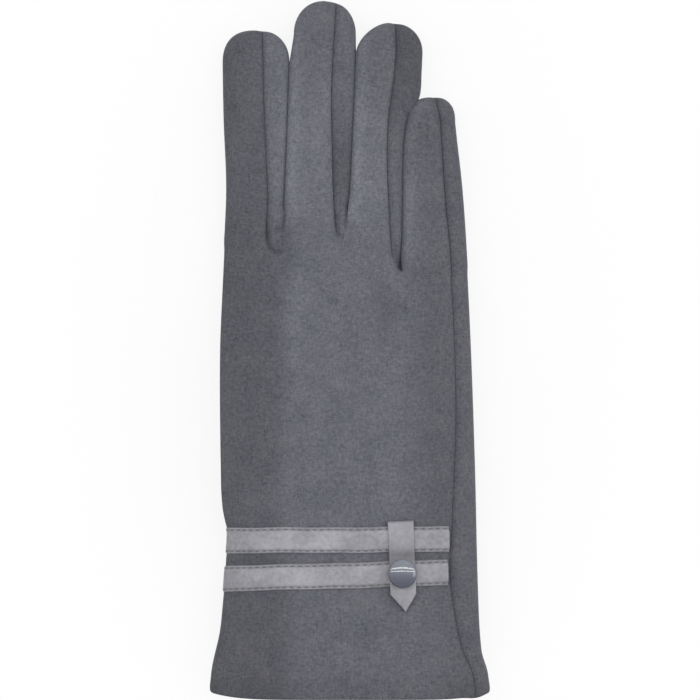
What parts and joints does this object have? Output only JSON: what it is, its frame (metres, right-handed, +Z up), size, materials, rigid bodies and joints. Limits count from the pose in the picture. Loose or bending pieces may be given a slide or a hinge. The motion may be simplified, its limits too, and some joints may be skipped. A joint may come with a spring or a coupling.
{
  "type": "touchscreen glove",
  "caption": "Right-hand cloth glove with conductive fingertips, trim bands and a buttoned tab at the wrist; fingers bend and the thumb folds under the palm.",
  "frame": {"origin": "on the table under the middle of the glove's bounding box", "axes": "+Y from the hem to the middle fingertip, +X to the little finger, +Z up from the table through the back of the hand"},
  "size_m": [0.0958, 0.2398, 0.0249],
  "materials": {
    "outer_fabric": "brushed grey melange",
    "lining_fabric": "soft fleece",
    "trim_leather": "smooth light grey",
    "stitch_thread": "dark grey thread",
    "button_enamel": "glossy grey-blue dome",
    "rivet_steel": "plain steel",
    "touch_patch": "conductive knit"
  },
  "bodies": {
    "hand": {"back_panel": "outer_fabric", "palm_panel": "outer_fabric", "hand_lining": "lining_fabric", "upper_band": "trim_leather", "lower_band": "trim_leather", "upper_band_stitch_top": "stitch_thread", "upper_band_stitch_bottom": "stitch_thread", "lower_band_stitch_top": "stitch_thread", "lower_band_stitch_bottom": "stitch_thread", "button_cap": "button_enamel", "button_rivet": "rivet_steel"},
    "index_finger": {"index_back": "outer_fabric", "index_palm": "outer_fabric", "index_fourchette": "outer_fabric", "index_lining": "lining_fabric", "index_touch_pad": "touch_patch"},
    "middle_finger": {"middle_back": "outer_fabric", "middle_palm": "outer_fabric", "middle_fourchette_left": "outer_fabric", "middle_fourchette_right": "outer_fabric", "middle_lining": "lining_fabric"},
    "ring_finger": {"ring_back": "outer_fabric", "ring_palm": "outer_fabric", "ring_fourchette_left": "outer_fabric", "ring_fourchette_right": "outer_fabric", "ring_lining": "lining_fabric"},
    "little_finger": {"little_back": "outer_fabric", "little_palm": "outer_fabric", "little_fourchette": "outer_fabric", "little_lining": "lining_fabric"},
    "thumb": {"thumb_stall": "outer_fabric", "thumb_lining": "lining_fabric", "thumb_touch_pad": "touch_patch"},
    "strap": {"tab": "trim_leather"}
  },
  "joints": [
    {"name": "index_flex", "type": "hinge", "parent": "hand", "child": "index_finger", "pos_m": [-0.03356, 0.03455, 0.00188], "axis": [-1, 0, 0], "range_deg": [0, 85]},
    {"name": "middle_flex", "type": "hinge", "parent": "hand", "child": "middle_finger", "pos_m": [-0.01274, 0.03909, 0.00168], "axis": [-1, 0, 0], "range_deg": [0, 85]},
    {"name": "ring_flex", "type": "hinge", "parent": "hand", "child": "ring_finger", "pos_m": [0.00767, 0.0336, 0.00107], "axis": [-1, 0, 0], "range_deg": [0, 85]},
    {"name": "little_flex", "type": "hinge", "parent": "hand", "child": "little_finger", "pos_m": [0.02941, 0.02548, 0.00178], "axis": [-1, 0, 0], "range_deg": [0, 85]},
    {"name": "thumb_unfold", "type": "hinge", "parent": "hand", "child": "thumb", "pos_m": [-0.0436, -0.024, 0.0098], "axis": [0, 1, 0], "range_deg": [0, 165]},
    {"name": "tab_swivel", "type": "hinge", "parent": "hand", "child": "strap", "pos_m": [0.018, -0.07651, 0.0205], "axis": [0, 0, 1], "range_deg": [-10, 10]}
  ]
}
